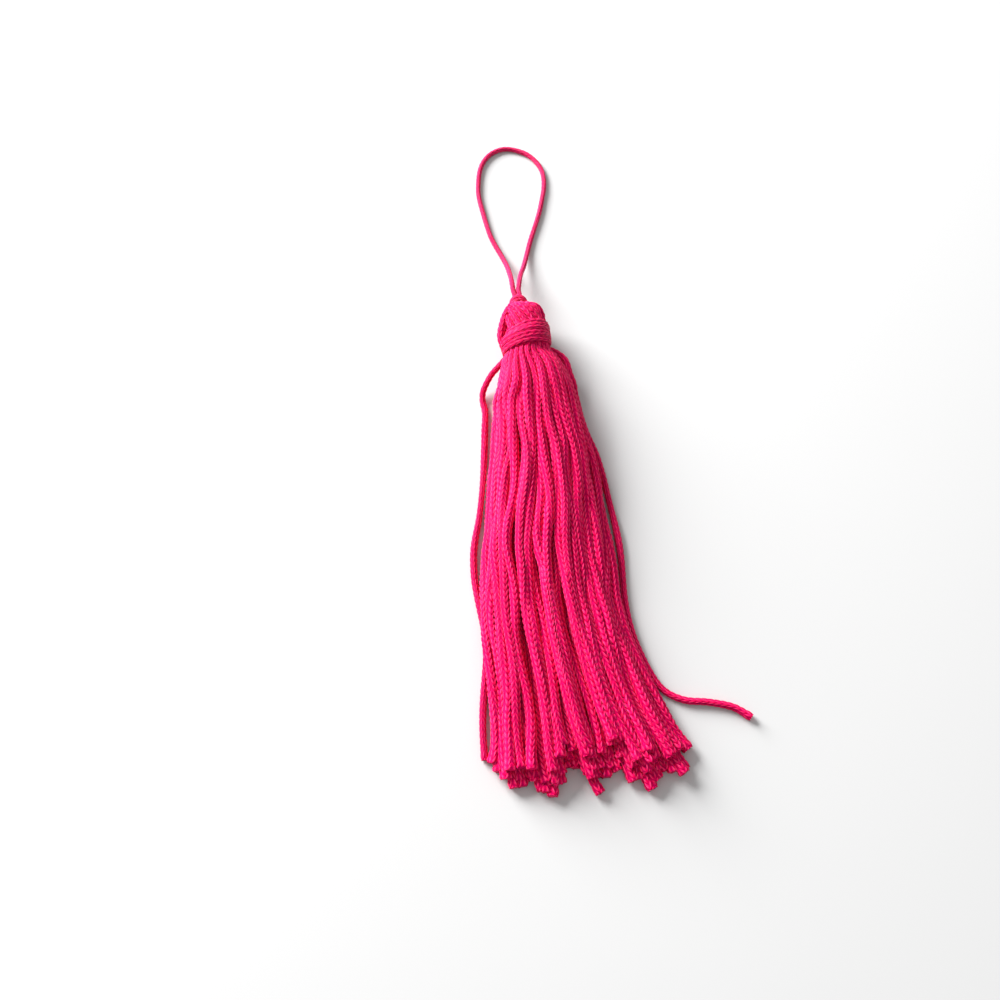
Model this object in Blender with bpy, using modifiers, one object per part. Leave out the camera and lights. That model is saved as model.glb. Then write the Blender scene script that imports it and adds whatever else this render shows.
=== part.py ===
# A silk tassel that lies on a table: a hank of knitted silk cord folded over a hanging loop, bound
# at the neck, with its skirt of strands fanned out flat. +Y runs from the skirt to the loop, +Z is
# up, and the origin is on the table, where the flat underside of the binding rests.
import math
import random

import bmesh
import bpy
import numpy as np

MM = 0.001

# Driving dimensions, in millimetres
AXIS_HEIGHT = 4.3           # middle of the neck above the table, which flattens the binding a little
HEAD_FOOT = 0.45            # where the tables' zero, the foot of the head, lies along Y
NECK_MIDDLE = 0.4           # middle of the neck across the tassel
SQUASH = 0.95               # the neck is a little narrower than it is high
CORE_RADIUS = 3.3           # the squeezed strands inside the binding
CLEARANCE = 0.3             # between one piece and the next
FOLD_STEPS = 4              # points across one folded strand

BINDING_TOP, BINDING_END = -0.9, -5.9
BINDING_RADIUS = 4.6        # outside of the turns
BINDING_TURNS = 5
TURN_DEPTH = 0.45           # how far a turn stands out of the groove beside it
TURN_STEPS = 4              # points across one turn
BINDING_SIDES = 36
SLANT_ACROSS, SLANT_UP = 0.30, -0.22   # the binding is wound at a slant

STRAND_SIDE = 0.74          # a strand is a square bar a little thinner than the knitted cord
STRAND_SPACING = 1.2
ROOT_SIDE = 0.38            # where the binding squeezes it
ROOT_SQUEEZE = 0.78
LAYER_SHORTENING = 1.3      # strands that lie higher end sooner, by this for each millimetre
SINKING = 0.12              # how fast the strands sink, for each millimetre along the skirt
STEEPEST = 0.9              # and how fast they may move sideways or down
WANDER = 0.05               # how far a loose strand may wander at each station
SETTLING = 90               # rounds of pushing apart at each station
PUSH = 0.42                 # the share of an overlap that one round undoes
EDGE_ROOM = 0.5             # from the skirt's edge to the middle of the outermost strand
ROOT_MARKS = (-4.9, -6.2)
FULL_MARK = -6.6            # where the strands start to grow from their roots' thickness
STRAY_GROWTH = 0.14         # how much thicker a stray strand is at each point from its root
SKIRT_MARKS = (-7.2, -8.2, -9.2, -11.2, -14.2, -19.2, -26.2, -34.2, -43.2, -52.2, -61.2, -69.2)
FOOT_STATION = -6           # the station whose places say where each strand is cut off
SEED = 7

LOOP_DIAMETER = 0.9
WRAP_MIDDLE = (-1.15, 5.7, 4.45)
WRAP_TURN = -8              # degrees from straight along the tassel
WRAP_STEPS = 20

SILK_PINK = (0.76, 0.010, 0.105)


def table(names, rows):
    """A short table of sizes as one array for each named column."""
    return {name: np.array(column, float) for name, column in zip(names.split(), zip(*rows))}


# The folded strands over the head, from the crown down to the core's end, and the depth of the
# grooves between them
HEAD = table('along radius sideways groove', [
    (4.60, 1.00, -0.90, 0.0),
    (4.50, 2.10, -0.50, 0.0),
    (4.00, 2.95, -0.10, 0.32),
    (3.00, 3.40, 0.05, 0.45),
    (1.80, 3.70, 0.15, 0.45),
    (0.40, 4.10, 0.30, 0.45),
    (-0.50, 4.20, 0.40, 0.45),
    (-0.60, CORE_RADIUS, 0.40, 0.0),
    (-6.40, CORE_RADIUS, 0.40, 0.0),
])

# Where the folded strands lie round the head, in degrees from the top towards +X
FOLDS = [-168, -140, -112, -86, -62, -38, -16, 8, 34, 62, 88, 112, 138, 164]

# The strands side by side in the neck, ring by ring
RINGS = table('radius count', [
    (3.55, 25),
    (2.75, 20),
    (1.95, 14),
    (1.15, 9),
    (0.45, 3),
])

# How much of the binding's slant the cord follows along the tassel
SLANT = table('along share', [
    (-17.0, 0.0),
    (-9.0, 1.0),
    (-0.4, 1.0),
    (4.2, -0.3),
])

# How free the strands are to wander, past the neck and on top of the others
FREEDOM = table('along share', [(-21.0, 1.0), (-9.0, 0.0)])
LOOSENESS = table('up share', [(1.0, 0.0), (4.0, 1.0)])

# The skirt's edges, the heights of its middle and of its rims, and the strands' spacing
SKIRT = table('along left right crown rim spacing', [
    (-7.2, -3.5, 4.3, 8.4, 4.3, 0.80),
    (-8.4, -3.9, 5.2, 8.8, 4.4, 0.90),
    (-9.8, -4.3, 6.4, 8.6, 4.0, 1.00),
    (-11.3, -4.7, 7.3, 8.3, 3.5, 1.08),
    (-12.9, -5.1, 7.9, 8.3, 3.3, 1.14),
    (-14.7, -5.5, 8.3, 7.9, 3.0, 1.20),
    (-20.0, -5.9, 9.9, 7.2, 2.2, 1.20),
    (-25.7, -5.9, 12.0, 6.5, 1.5, 1.20),
    (-33.5, -6.4, 13.4, 5.6, 1.0, 1.20),
    (-44.0, -7.7, 14.3, 5.0, 1.0, 1.20),
    (-52.0, -7.2, 15.2, 4.7, 1.0, 1.20),
    (-59.0, -6.7, 17.0, 4.4, 1.0, 1.20),
    (-65.0, -6.3, 19.3, 4.2, 1.0, 1.20),
    (-72.0, -6.1, 22.6, 4.0, 1.0, 1.20),
    (-85.0, -5.9, 30.4, 3.8, 1.0, 1.20),
])

# Where the strands are cut off, across the foot of the skirt
ENDS = table('sideways along', [
    (-9.0, -78.8),
    (-6.6, -79.4),
    (-4.6, -80.5),
    (-4.0, -83.0),
    (-0.8, -82.6),
    (-0.1, -80.4),
    (0.5, -83.1),
    (3.6, -83.7),
    (5.2, -84.6),
    (6.2, -79.6),
    (8.1, -80.0),
    (9.4, -84.2),
    (10.4, -81.3),
    (12.0, -81.3),
    (14.4, -79.1),
    (15.6, -79.8),
    (16.4, -82.3),
    (18.4, -83.3),
    (19.4, -81.4),
    (21.9, -79.8),
    (23.3, -81.6),
    (24.4, -79.8),
    (25.6, -77.0),
])

# The strand that slipped out of the binding on the left
LEFT_STRAY = table('sideways along up', [
    (-2.0, 3.0, 5.3),
    (-3.9, 2.1, 5.5),
    (-4.75, 0.6, 5.2),
    (-4.80, -1.4, 4.8),
    (-4.80, -3.8, 4.5),
    (-4.9, -6.0, 3.7),
    (-6.2, -8.1, 2.3),
    (-7.45, -10.7, 1.0),
    (-7.6, -13.1, 0.37),
    (-7.3, -15.8, 0.37),
    (-7.4, -20.0, 0.37),
    (-7.4, -28.0, 0.37),
    (-8.1, -35.5, 0.37),
    (-8.8, -42.0, 0.37),
    (-8.5, -47.5, 0.37),
    (-7.9, -53.0, 0.37),
    (-7.3, -60.0, 0.37),
    (-7.0, -68.0, 0.37),
    (-6.8, -78.6, 0.37),
])

# The outermost strand on the right, which bows away from the skirt
RIGHT_STRAY = table('sideways along up', [
    (2.6, -5.0, 4.3),
    (3.1, -6.1, 4.3),
    (5.5, -7.5, 4.1),
    (7.3, -9.6, 3.6),
    (7.9, -11.3, 3.0),
    (8.6, -12.9, 2.4),
    (8.9, -14.7, 1.6),
    (10.6, -20.0, 0.6),
    (12.8, -25.2, 0.37),
    (14.2, -30.5, 0.37),
    (15.2, -38.0, 0.37),
    (16.0, -45.0, 0.37),
    (16.5, -51.5, 0.37),
    (17.1, -56.3, 0.37),
    (18.1, -60.3, 0.37),
    (20.1, -64.8, 0.37),
    (22.3, -67.8, 0.37),
    (25.4, -69.3, 0.37),
    (29.0, -69.6, 0.37),
    (33.0, -70.4, 0.37),
    (36.0, -72.0, 0.37),
])

# The wrap's outline, turned round its own middle line
WRAP = table('radius along', [
    (0.00, 0.75),
    (1.15, 0.75),
    (1.50, 0.40),
    (1.40, 0.10),
    (1.60, -0.25),
    (1.45, -0.75),
    (0.00, -0.75),
])

# The hanging loop's route: out of the wrap, down on to the table and round
LOOP = table('sideways along up', [
    (-2.0, 6.95, 4.45),
    (-2.15, 7.8, 4.42),
    (-2.2, 9.0, 4.3),
    (-2.4, 10.8, 3.75),
    (-2.7, 12.8, 2.7),
    (-3.25, 15.5, 1.5),
    (-4.27, 18.4, 0.7),
    (-5.54, 21.2, 0.45),
    (-6.47, 23.5, 0.45),
    (-7.27, 26.4, 0.45),
    (-8.12, 29.9, 0.45),
    (-8.74, 32.9, 0.45),
    (-8.88, 35.6, 0.45),
    (-8.63, 39.2, 0.45),
    (-7.85, 41.8, 0.45),
    (-6.4, 43.8, 0.45),
    (-4.51, 44.9, 0.45),
    (-2.67, 45.1, 0.45),
    (-0.83, 44.6, 0.45),
    (0.79, 43.8, 0.45),
    (2.4, 42.3, 0.45),
    (3.71, 40.1, 0.45),
    (4.25, 37.7, 0.45),
    (4.25, 35.1, 0.45),
    (3.87, 32.4, 0.45),
    (3.28, 29.1, 0.45),
    (2.39, 25.7, 0.45),
    (1.46, 22.3, 0.45),
    (0.78, 19.2, 0.6),
    (0.11, 15.6, 1.4),
    (-0.5, 12.8, 2.7),
    (-0.78, 10.8, 3.75),
    (-0.9, 9.0, 4.3),
    (-0.9, 7.8, 4.42),
    (-0.75, 6.9, 4.45),
])


def clear_scene():
    for thing in list(bpy.data.objects):
        bpy.data.objects.remove(thing, do_unlink=True)


def silk(name, roughness=0.55):
    material = bpy.data.materials.new(name)
    material.use_nodes = True
    shader = material.node_tree.nodes['Principled BSDF']
    shader.inputs['Base Color'].default_value = (*SILK_PINK, 1.0)
    shader.inputs['Roughness'].default_value = roughness
    shader.inputs['Sheen Weight'].default_value = 0.3
    return material


def add_object(name, data, material, collection):
    thing = bpy.data.objects.new(name, data)
    data.materials.append(material)
    collection.objects.link(thing)
    return thing


def smooth_route(route, spacing):
    """Points about one spacing apart on a smooth curve through a route's own points."""
    points = np.column_stack([route['sideways'], route['along'], route['up']])
    padded = np.vstack([2 * points[0] - points[1], points, 2 * points[-1] - points[-2]])
    fine = []
    for a, b, c, d in zip(padded, padded[1:], padded[2:], padded[3:]):
        for t in np.linspace(0, 1, 12, endpoint=False):
            fine.append(0.5 * (2 * b + (c - a) * t + (2 * a - 5 * b + 4 * c - d) * t ** 2
                               + (3 * b - a - 3 * c + d) * t ** 3))
    fine = np.array(fine + [points[-1]])
    walked = np.concatenate([[0], np.cumsum(np.linalg.norm(np.diff(fine, axis=0), axis=1))])
    marks = np.linspace(0, walked[-1], max(2, round(walked[-1] / spacing) + 1))
    return np.column_stack([np.interp(marks, walked, fine[:, i]) for i in range(3)])


def slanted(sideways, along, up):
    """A point in metres, dragged along the tassel as the slanted binding drags head and neck."""
    share = np.interp(along, SLANT['along'], SLANT['share'])
    drag = share * (SLANT_ACROSS * sideways + SLANT_UP * (up - AXIS_HEIGHT))
    return MM * sideways, MM * (HEAD_FOOT + along + drag), MM * up


def section(along):
    """The skirt's edges, crown, rim and strand spacing at a station."""
    return [np.interp(-along, -SKIRT['along'], SKIRT[name])
            for name in ('left', 'right', 'crown', 'rim', 'spacing')]


def stray_place(route, along):
    """Where a stray strand passes a station, as an array with no row past the strand's end."""
    order = np.argsort(route['along'])
    if along < route['along'][order[0]]:
        return np.empty((0, 2))
    return np.array([[np.interp(along, route['along'][order], route[name][order])
                      for name in ('sideways', 'up')]])


def neck_places():
    """The strands' places side by side in the neck, sideways and up."""
    places = []
    for ring, (radius, count) in enumerate(zip(RINGS['radius'], RINGS['count'])):
        for i in range(int(count)):
            angle = 2 * math.pi * (i + 0.5 * (ring % 2)) / count
            places.append([NECK_MIDDLE + SQUASH * radius * math.sin(angle),
                           AXIS_HEIGHT + radius * math.cos(angle)])
    return np.array(places)


def lay_strands():
    """Lay the strands from the neck to the skirt's foot, a millimetre at a time.

    At each station they spread with the skirt's edges, sink, wander a little, and push each other
    apart. The result is (strand, station, sideways and up) and the stations' places along Y.
    """
    chance = random.Random(SEED)
    places = neck_places()
    size = np.array([chance.uniform(0.5, 1.0) for _ in places])
    length = np.array([chance.uniform(9, 22) for _ in places])
    phase = np.array([chance.uniform(0, 2 * math.pi) for _ in places])
    drift = np.array([chance.uniform(-1, 1) for _ in places])
    stations = np.arange(SKIRT['along'][0], SKIRT['along'][-1] - 0.01, -1.0)
    kept = [places.copy()]
    old_left, old_right = section(stations[0])[:2]
    for along in stations[1:]:
        left, right, crown, rim, spacing = section(along)
        middle, half = (left + right) / 2, (right - left) / 2
        before = places.copy()
        share = (places[:, 0] - old_left) / (old_right - old_left)
        wander = WANDER * np.interp(along, FREEDOM['along'], FREEDOM['share'])
        high = np.interp(places[:, 1], LOOSENESS['up'], LOOSENESS['share'])
        wave = size * np.sin(2 * math.pi * along / length + phase)
        places[:, 0] = left + share * (right - left) + wander * (wave + drift * high)
        places[:, 1] -= SINKING
        strays = np.vstack([stray_place(LEFT_STRAY, along), stray_place(RIGHT_STRAY, along)])
        for _ in range(SETTLING):
            gap = places[:, None, :] - np.vstack([places, strays])[None, :, :]
            apart = np.linalg.norm(gap, axis=2)
            push = np.where(apart > 0, np.clip(spacing - apart, 0, None) / (apart + 1e-9), 0)
            places += PUSH * (gap * push[:, :, None]).sum(axis=1)
            places[:, 0] = np.clip(places[:, 0], left + EDGE_ROOM, right - EDGE_ROOM)
            reach = np.clip(np.abs(places[:, 0] - middle) / half, 0, 1)
            roof = rim + (crown - rim) * (1 - reach ** 3)
            places[:, 1] = np.clip(places[:, 1], STRAND_SIDE / 2, roof)
        places = before + np.clip(places - before, -STEEPEST, STEEPEST)
        kept.append(places.copy())
        old_left, old_right = left, right
    laid = np.array(kept).transpose(1, 0, 2)
    for _ in range(2):
        laid[:, 1:-1] = (laid[:, :-2] + 2 * laid[:, 1:-1] + laid[:, 2:]) / 4
    return laid, stations


def strand_end(place):
    """Where along Y a strand is cut off: the higher it lies on its neighbours, the sooner."""
    return (np.interp(place[0], ENDS['sideways'], ENDS['along'])
            + LAYER_SHORTENING * (place[1] - STRAND_SIDE / 2))


def strand_side(along):
    """The strand's thickness: squeezed at the root, full once the skirt has spread."""
    return np.interp(-along, [-FULL_MARK, *-SKIRT['along'][:6]],
                     [ROOT_SIDE, *STRAND_SIDE / STRAND_SPACING * SKIRT['spacing'][:6]])


def skirt_routes():
    """Each strand's points and thicknesses, in millimetres before the slant, roots first."""
    laid, stations = lay_strands()
    routes = []
    for strand in laid:
        foot = strand_end(strand[FOOT_STATION])
        stops = [s for s in SKIRT_MARKS if s > foot + 3.0] + [foot]
        sideways = np.interp(-np.array(stops), -stations, strand[:, 0])
        up = np.interp(-np.array(stops), -stations, strand[:, 1])
        squeezed_x = NECK_MIDDLE + ROOT_SQUEEZE * (strand[0, 0] - NECK_MIDDLE)
        squeezed_z = AXIS_HEIGHT + ROOT_SQUEEZE * (strand[0, 1] - AXIS_HEIGHT)
        points = [(squeezed_x, along, squeezed_z) for along in ROOT_MARKS]
        points += list(zip(sideways, stops, up))
        routes.append((np.array(points), strand_side(np.array([p[1] for p in points]))))
    for route in (LEFT_STRAY, RIGHT_STRAY):
        points = np.column_stack([route['sideways'], route['along'], route['up']])
        sides = ROOT_SIDE + STRAY_GROWTH * np.arange(len(points))
        routes.append((points, np.minimum(STRAND_SIDE, sides)))
    return routes


def strands_mesh():
    """All the strands as square bars with closed ends, welded, as one mesh of separate bodies."""
    curve = bpy.data.curves.new('strands', 'CURVE')
    curve.dimensions = '3D'
    curve.twist_mode = 'Z_UP'
    curve.bevel_depth = MM * STRAND_SIDE / math.sqrt(2)
    curve.bevel_resolution = 0
    curve.use_fill_caps = True
    for points, sides in skirt_routes():
        spline = curve.splines.new('POLY')
        spline.points.add(len(points) - 1)
        for point, place, side in zip(spline.points, points, sides):
            point.co = (*slanted(*place), 1.0)
            point.radius = side / STRAND_SIDE
            point.tilt = math.pi / 4
    return welded_mesh(curve)


def welded_mesh(curve):
    """A curve's mesh with its end caps joined on; the curve is used up."""
    holder = bpy.data.objects.new('holder', curve)
    bpy.context.scene.collection.objects.link(holder)
    bpy.context.view_layer.update()
    evaluated = holder.evaluated_get(bpy.context.evaluated_depsgraph_get())
    mesh = bpy.data.meshes.new_from_object(evaluated)
    bpy.data.objects.remove(holder)
    shape = bmesh.new()
    shape.from_mesh(mesh)
    bmesh.ops.remove_doubles(shape, verts=shape.verts, dist=1e-6)
    bmesh.ops.recalc_face_normals(shape, faces=shape.faces)
    shape.to_mesh(mesh)
    shape.free()
    return mesh


def loft(name, rings, closed=False):
    """A closed skin through rings of points; the last ring joins the first where closed is set."""
    shape = bmesh.new()
    rows = [[shape.verts.new(point) for point in ring] for ring in rings]
    count = len(rows[0])
    pairs = list(zip(rows, rows[1:])) + ([(rows[-1], rows[0])] if closed else [])
    for first, second in pairs:
        for i in range(count):
            shape.faces.new((first[i], first[(i + 1) % count], second[(i + 1) % count], second[i]))
    if not closed:
        shape.faces.new(rows[0][::-1])
        shape.faces.new(rows[-1])
    bmesh.ops.recalc_face_normals(shape, faces=shape.faces)
    mesh = bpy.data.meshes.new(name)
    shape.to_mesh(mesh)
    shape.free()
    return mesh


def head_mesh():
    """The folded strands over the head and the squeezed core that runs on inside the binding."""
    angles, grooves = [], []
    for i, fold in enumerate(FOLDS):
        gap = (FOLDS[(i + 1) % len(FOLDS)] - fold) % 360
        for step in range(FOLD_STEPS):
            angles.append(math.radians(fold + gap * step / FOLD_STEPS))
            grooves.append(math.sin(math.pi * step / FOLD_STEPS))
    rings = []
    for along, radius, sideways, depth in zip(*HEAD.values()):
        ring = []
        for angle, groove in zip(angles, grooves):
            reach = radius - depth * groove
            ring.append(slanted(sideways + SQUASH * reach * math.sin(angle), along,
                                max(0.0, AXIS_HEIGHT + reach * math.cos(angle))))
        rings.append(ring)
    return loft('head', rings)


def make_body(material, collection):
    """Head, core and strands: the strands are fused at their roots to the core's end."""
    body = add_object('tassel_strands', head_mesh(), material, collection)
    strands = bpy.data.objects.new('strand_bars', strands_mesh())
    cutters = bpy.data.collections.new('cutters')
    bpy.context.scene.collection.children.link(cutters)
    cutters.objects.link(strands)
    strands.hide_render = True
    strands.display_type = 'WIRE'
    join = body.modifiers.new('join the strands', 'BOOLEAN')
    join.operation = 'UNION'
    join.object = strands
    join.use_self = True
    return body


def make_binding(material, collection):
    """The cord wound round the neck: a ring with a ridge for each turn."""
    height = (BINDING_TOP - BINDING_END) / BINDING_TURNS
    profile = [(CORE_RADIUS + CLEARANCE, BINDING_END), (CORE_RADIUS + CLEARANCE, BINDING_TOP)]
    for i in range(BINDING_TURNS * TURN_STEPS + 1):
        ridge = abs(math.sin(math.pi * i / TURN_STEPS))
        profile.append((BINDING_RADIUS - TURN_DEPTH * (1 - ridge),
                        BINDING_TOP - height * i / TURN_STEPS))
    rings = []
    for i in range(BINDING_SIDES):
        angle = 2 * math.pi * i / BINDING_SIDES
        rings.append([slanted(NECK_MIDDLE + SQUASH * radius * math.sin(angle), along,
                              max(0.0, AXIS_HEIGHT + radius * math.cos(angle)))
                      for radius, along in profile])
    return add_object('neck_binding', loft('neck_binding', rings, closed=True), material, collection)


def make_wrap(material, collection):
    """The small tight wrap that closes the loop on top of the head."""
    outline = [(MM * radius, 0, MM * along) for radius, along in zip(*WRAP.values())]
    edges = [(i, i + 1) for i in range(len(outline) - 1)]
    mesh = bpy.data.meshes.new('loop_wrap')
    mesh.from_pydata(outline, edges, [])
    wrap = add_object('loop_wrap', mesh, material, collection)
    turn = wrap.modifiers.new('turn', 'SCREW')
    turn.steps = turn.render_steps = WRAP_STEPS
    turn.use_merge_vertices = True
    turn.merge_threshold = 0.00001
    sideways, along, up = WRAP_MIDDLE
    wrap.location = (MM * sideways, MM * (HEAD_FOOT + along), MM * up)
    wrap.rotation_euler = (-math.pi / 2, 0, math.radians(WRAP_TURN))
    return wrap


def make_loop(material, collection):
    """The hanging loop's cord, round as it leaves the wrap and lies on the table."""
    curve = bpy.data.curves.new('hanging_loop', 'CURVE')
    curve.dimensions = '3D'
    curve.bevel_depth = MM * LOOP_DIAMETER / 2
    curve.bevel_resolution = 2
    curve.use_fill_caps = True
    points = smooth_route(LOOP, 2 * LOOP_DIAMETER)
    spline = curve.splines.new('POLY')
    spline.points.add(len(points) - 1)
    for point, (sideways, along, up) in zip(spline.points, points):
        point.co = (MM * sideways, MM * (HEAD_FOOT + along), MM * up, 1.0)
    return add_object('hanging_loop', curve, material, collection)


def make_tassel():
    clear_scene()
    collection = bpy.data.collections.new('silk_tassel')
    bpy.context.scene.collection.children.link(collection)
    make_body(silk('knitted_silk_strands'), collection)
    make_binding(silk('wound_silk_binding'), collection)
    make_wrap(silk('wrapped_silk'), collection)
    make_loop(silk('silk_loop_cord', roughness=0.5), collection)


make_tassel()
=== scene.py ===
# %% [markdown]
# # A silk tassel, one knitted cord at a time
#
# The tassel is a hank of fine knitted silk cord, folded over a hanging loop, bound at the neck and
# laid on a pale table. Everything on it is the same kind of cord, so this lesson builds one good
# piece of knitting with Geometry Nodes and then leads it along many routes: over the head, round the
# neck and down the skirt. The imported solids are the frame: each soft one is replaced here by cords
# that lie where the solid lies.

# %% The frame and the tools
import math
import random

import bpy
import numpy as np
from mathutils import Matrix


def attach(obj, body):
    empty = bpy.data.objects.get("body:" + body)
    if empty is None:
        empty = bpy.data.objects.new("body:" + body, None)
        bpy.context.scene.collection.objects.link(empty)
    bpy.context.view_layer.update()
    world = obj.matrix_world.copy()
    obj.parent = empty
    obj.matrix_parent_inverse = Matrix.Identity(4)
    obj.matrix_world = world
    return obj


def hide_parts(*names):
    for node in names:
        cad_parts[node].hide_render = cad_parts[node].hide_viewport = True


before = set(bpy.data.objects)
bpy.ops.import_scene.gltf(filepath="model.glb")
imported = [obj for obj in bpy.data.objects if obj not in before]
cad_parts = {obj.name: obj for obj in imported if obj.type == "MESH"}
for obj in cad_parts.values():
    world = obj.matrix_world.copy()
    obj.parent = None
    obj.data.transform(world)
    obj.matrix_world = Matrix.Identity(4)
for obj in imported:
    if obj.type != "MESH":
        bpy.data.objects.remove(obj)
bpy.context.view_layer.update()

MM = 0.001

# %% [markdown]
# ## The camera
#
# The photograph looks down on the table from above the foot of the skirt, so the stitches near the
# foot look larger than those at the neck. That growth, a quarter from end to end, gives the tilt.
# A lens shift could fake the framing, but a plain camera in the right place needs none.

# %% Place the camera
CAMERA_PLACE = (-4.506, -112.18, 175.635)
CAMERA_DOWN = 65.689        # degrees below the horizon
FOCAL_LENGTH = 39.6
SENSOR_WIDTH = 36.0

camera_data = bpy.data.cameras.new('camera')
camera_data.lens = FOCAL_LENGTH
camera_data.sensor_width = SENSOR_WIDTH
camera_data.clip_start = 0.001
camera = bpy.data.objects.new('camera', camera_data)
camera.location = [MM * value for value in CAMERA_PLACE]
camera.rotation_euler = (math.radians(90 - CAMERA_DOWN), 0, 0)
bpy.context.scene.collection.objects.link(camera)
bpy.context.scene.camera = camera
bpy.context.scene.view_settings.view_transform = 'Standard'
print('camera', round(camera.location.length, 3), 'm from the origin, lens', FOCAL_LENGTH, 'mm')

# %% [markdown]
# ## Dyed silk
#
# Reeled silk is bright because its filaments are smooth and lie side by side, and it takes dye so
# deeply that its shine is coloured too. So the specular tint is pink, and weak: a white shine would
# turn the cord to plastic. The knitting itself tells the shader where it is: each cord carries a
# `ridge` attribute, 1 on the crest of a stitch and 0 in the groove beside it, a `filament` attribute
# that counts stitches along the cord, and a `tint` that differs from one cord to the next. The colour
# is painted darker in the grooves, as painted shade, and lighter and paler on the crests, as a painted
# highlight. Fine waves along `filament` make the filaments' bump. A little light wanders inside the
# yarn too, which keeps the gaps between cords from going black. An image could hold all this, but
# attributes stay sharp at any distance.

# %% Helpers for nodes
def add_node(tree, kind, inputs=None, **settings):
    """A new node with its settings made and its sockets linked or given a value."""
    node = tree.nodes.new(kind)
    for name, value in settings.items():
        setattr(node, name, value)
    for socket, value in (inputs or {}).items():
        if isinstance(value, bpy.types.NodeSocket):
            tree.links.new(value, node.inputs[socket])
        else:
            node.inputs[socket].default_value = value
    return node


def calc(tree, operation, *values):
    """The result socket of one Math node."""
    return add_node(tree, 'ShaderNodeMath', dict(enumerate(values)), operation=operation).outputs[0]


# %% The silk material
FILAMENTS = 6               # fine waves across one leg of a stitch
FILAMENT_HEIGHT = 0.000035
LIGHT_DEPTH = 0.0002        # how far light wanders inside the yarn
FIBRE_SCALE = 5200.0
FLECK_SWING, CLOUD_SWING, FIBRE_SWING, WAVE_SWING = 0.50, 0.16, 0.30, 0.03
DULLEST, TINT_SWING = 0.86, 0.16
FLECK_SCALE = 1500.0        # noises per metre: flecks on stitches, clouds over strands, fibres
CLOUD_SCALE = 260.0


def swing(tree, noise, reach):
    """A noise from 0 to 1, turned to swing about zero."""
    return calc(tree, 'MULTIPLY_ADD', noise.outputs['Fac'], reach, -reach / 2)


def silk(name, groove_shade, body, crest_highlight, roughness=0.5):
    """Dyed silk from the groove's painted shade over the body's colour to the crest's painted
    highlight.
    """
    material = bpy.data.materials.new(name)
    material.use_nodes = True
    tree = material.node_tree
    shader = tree.nodes['Principled BSDF']
    shader.inputs['Roughness'].default_value = roughness
    shader.inputs['Specular IOR Level'].default_value = 0.12
    shader.inputs['Specular Tint'].default_value = (1.0, 0.10, 0.30, 1.0)
    shader.inputs['Subsurface Weight'].default_value = 0.30
    shader.inputs['Subsurface Radius'].default_value = (1.0, 0.2, 0.3)
    shader.inputs['Subsurface Scale'].default_value = LIGHT_DEPTH
    shader.inputs['Sheen Weight'].default_value = 0.05
    shader.inputs['Sheen Roughness'].default_value = 0.35
    shader.inputs['Sheen Tint'].default_value = (1.0, 0.12, 0.30, 1.0)

    ridge = add_node(tree, 'ShaderNodeAttribute', attribute_name='ridge')
    tint = add_node(tree, 'ShaderNodeAttribute', attribute_name='tint')
    filament = add_node(tree, 'ShaderNodeAttribute', attribute_name='filament')
    place = add_node(tree, 'ShaderNodeTexCoord').outputs['Object']

    fleck = add_node(tree, 'ShaderNodeTexNoise', {'Vector': place, 'Scale': FLECK_SCALE, 'Detail': 1.0})
    # Painted light: the ridge turns the grooves darker, painted shade, and the crests lighter, a
    # painted highlight; the flecks vary the stitches at random.
    painted_light_and_flecks = calc(tree, 'ADD', ridge.outputs['Fac'], swing(tree, fleck, FLECK_SWING))
    ramp = add_node(tree, 'ShaderNodeValToRGB', {'Fac': painted_light_and_flecks})
    ramp.color_ramp.elements[0].position = 0.15
    ramp.color_ramp.elements[0].color = (*groove_shade, 1.0)
    ramp.color_ramp.elements[1].position = 0.90
    ramp.color_ramp.elements[1].color = (*crest_highlight, 1.0)
    ramp.color_ramp.elements.new(0.50).color = (*body, 1.0)

    cloud = add_node(tree, 'ShaderNodeTexNoise', {'Vector': place, 'Scale': CLOUD_SCALE, 'Detail': 2.0})
    fibre = add_node(tree, 'ShaderNodeTexNoise', {'Vector': place, 'Scale': FIBRE_SCALE, 'Detail': 1.0})
    waves = calc(tree, 'SINE', calc(tree, 'MULTIPLY', filament.outputs['Fac'],
                                    2 * math.pi * FILAMENTS))
    value = calc(tree, 'ADD', calc(tree, 'MULTIPLY', tint.outputs['Fac'], TINT_SWING), DULLEST)
    value = calc(tree, 'ADD', value, swing(tree, cloud, CLOUD_SWING))
    value = calc(tree, 'ADD', value, swing(tree, fibre, FIBRE_SWING))
    value = calc(tree, 'ADD', value, calc(tree, 'MULTIPLY', waves, WAVE_SWING))
    dye_and_painted_light = add_node(tree, 'ShaderNodeHueSaturation', {'Value': value, 'Color': ramp.outputs['Color']})
    tree.links.new(dye_and_painted_light.outputs['Color'], shader.inputs['Base Color'])

    height = calc(tree, 'MULTIPLY_ADD', waves, 0.5, calc(tree, 'MULTIPLY', fibre.outputs['Fac'], 1.2))
    bump = add_node(tree, 'ShaderNodeBump', {'Height': height, 'Strength': 0.8,
                                             'Distance': FILAMENT_HEIGHT})
    tree.links.new(bump.outputs['Normal'], shader.inputs['Normal'])
    return material


# The groove colour is painted shade in the grooves between stitches, the crest colour a painted
# highlight on the stitches' crests.
GROOVE_SHADE = (0.52, 0.001, 0.078)
BODY = (0.92, 0.001, 0.100)
CREST_HIGHLIGHT = (0.98, 0.055, 0.190)

strand_silk = silk('dyed_silk_strands', GROOVE_SHADE, BODY, CREST_HIGHLIGHT)
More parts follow.
